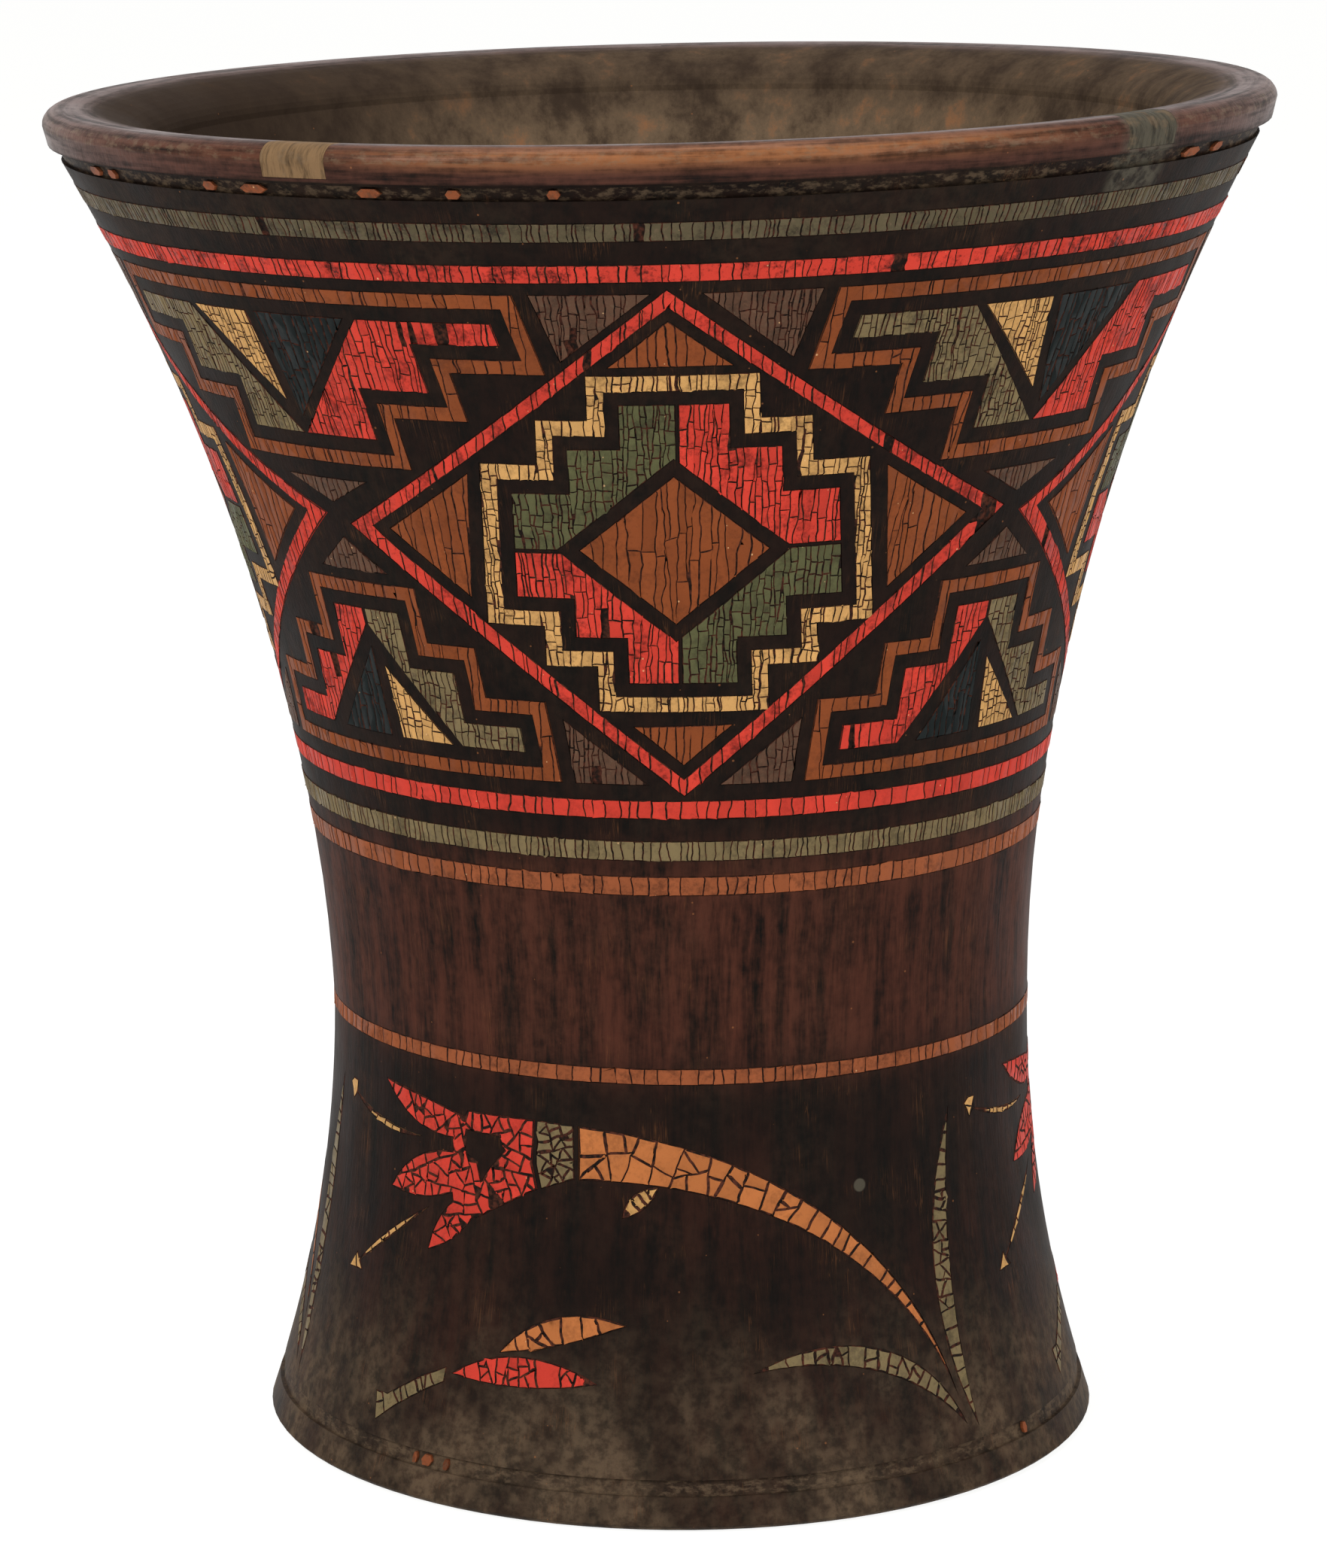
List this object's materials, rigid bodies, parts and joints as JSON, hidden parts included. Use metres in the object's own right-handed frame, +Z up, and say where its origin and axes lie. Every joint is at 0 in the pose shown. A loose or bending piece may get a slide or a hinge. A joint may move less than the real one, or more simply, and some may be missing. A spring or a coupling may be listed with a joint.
{
  "type": "kero cup",
  "caption": "Flared wooden drinking cup with a narrow waist, a rounded lip, and coloured resin inlay: a frieze of framed diamonds and stepped panels over a row of flowers.",
  "frame": {"origin": "centre of the foot's flat base", "axes": "+Z up the cup, -Y out of the front diamond, +X to the right as seen from the front"},
  "size_m": [0.1805, 0.1805, 0.2027],
  "materials": {
    "wood": "dark, worn and polished by handling",
    "tab_grey": "rough grey resin",
    "red": "hard pigmented plant resin, satin and finely cracked",
    "ochre": "hard pigmented plant resin, satin and finely cracked",
    "cream": "hard pigmented plant resin, satin and finely cracked",
    "green": "hard pigmented plant resin, satin and finely cracked",
    "sage": "hard pigmented plant resin, satin and finely cracked",
    "umber": "hard pigmented plant resin, satin and finely cracked",
    "teal": "hard pigmented plant resin, satin and finely cracked",
    "stem_ochre": "hard pigmented plant resin, satin and finely cracked"
  },
  "bodies": {
    "root": {"wood_cup": "wood", "rim_tab_left": "tab_grey", "rim_tab_right": "tab_grey", "lip_line_flecks": "stem_ochre", "foot_line_flecks": "stem_ochre", "upper_green_band": "sage", "upper_red_band": "red", "lower_red_band": "red", "lower_green_band": "sage", "lower_ochre_band": "ochre", "waist_band": "ochre", "front_diamond_frame": "red", "front_diamond_corners": "ochre", "front_cross_border": "cream", "front_green_quarters": "green", "front_red_quarters": "red", "front_centre_lozenge": "ochre", "right_diamond_frame": "red", "right_diamond_corners": "ochre", "right_cross_border": "cream", "right_green_quarters": "green", "right_red_quarters": "red", "right_centre_lozenge": "ochre", "back_diamond_frame": "red", "back_diamond_corners": "ochre", "back_cross_border": "cream", "back_green_quarters": "green", "back_red_quarters": "red", "back_centre_lozenge": "ochre", "left_diamond_frame": "red", "left_diamond_corners": "ochre", "left_cross_border": "cream", "left_green_quarters": "green", "left_red_quarters": "red", "left_centre_lozenge": "ochre", "upper_panel_frames": "ochre", "upper_panel_greens": "sage", "upper_panel_reds": "red", "upper_panel_creams": "cream", "upper_panel_teals": "teal", "upper_wedges": "umber", "lower_panel_frames": "ochre", "lower_panel_greens": "sage", "lower_panel_reds": "red", "lower_panel_creams": "cream", "lower_panel_teals": "teal", "lower_wedges": "umber", "crossing_fillers": "umber", "flower_corollas": "red", "flower_calyxes": "green", "flower_stems": "stem_ochre", "flower_stamens": "cream", "dewdrops": "cream", "upright_leaves": "sage", "arching_leaves": "sage", "bud_leaves": "stem_ochre", "bud_petals": "red", "bud_stalks": "sage"}
  },
  "joints": []
}
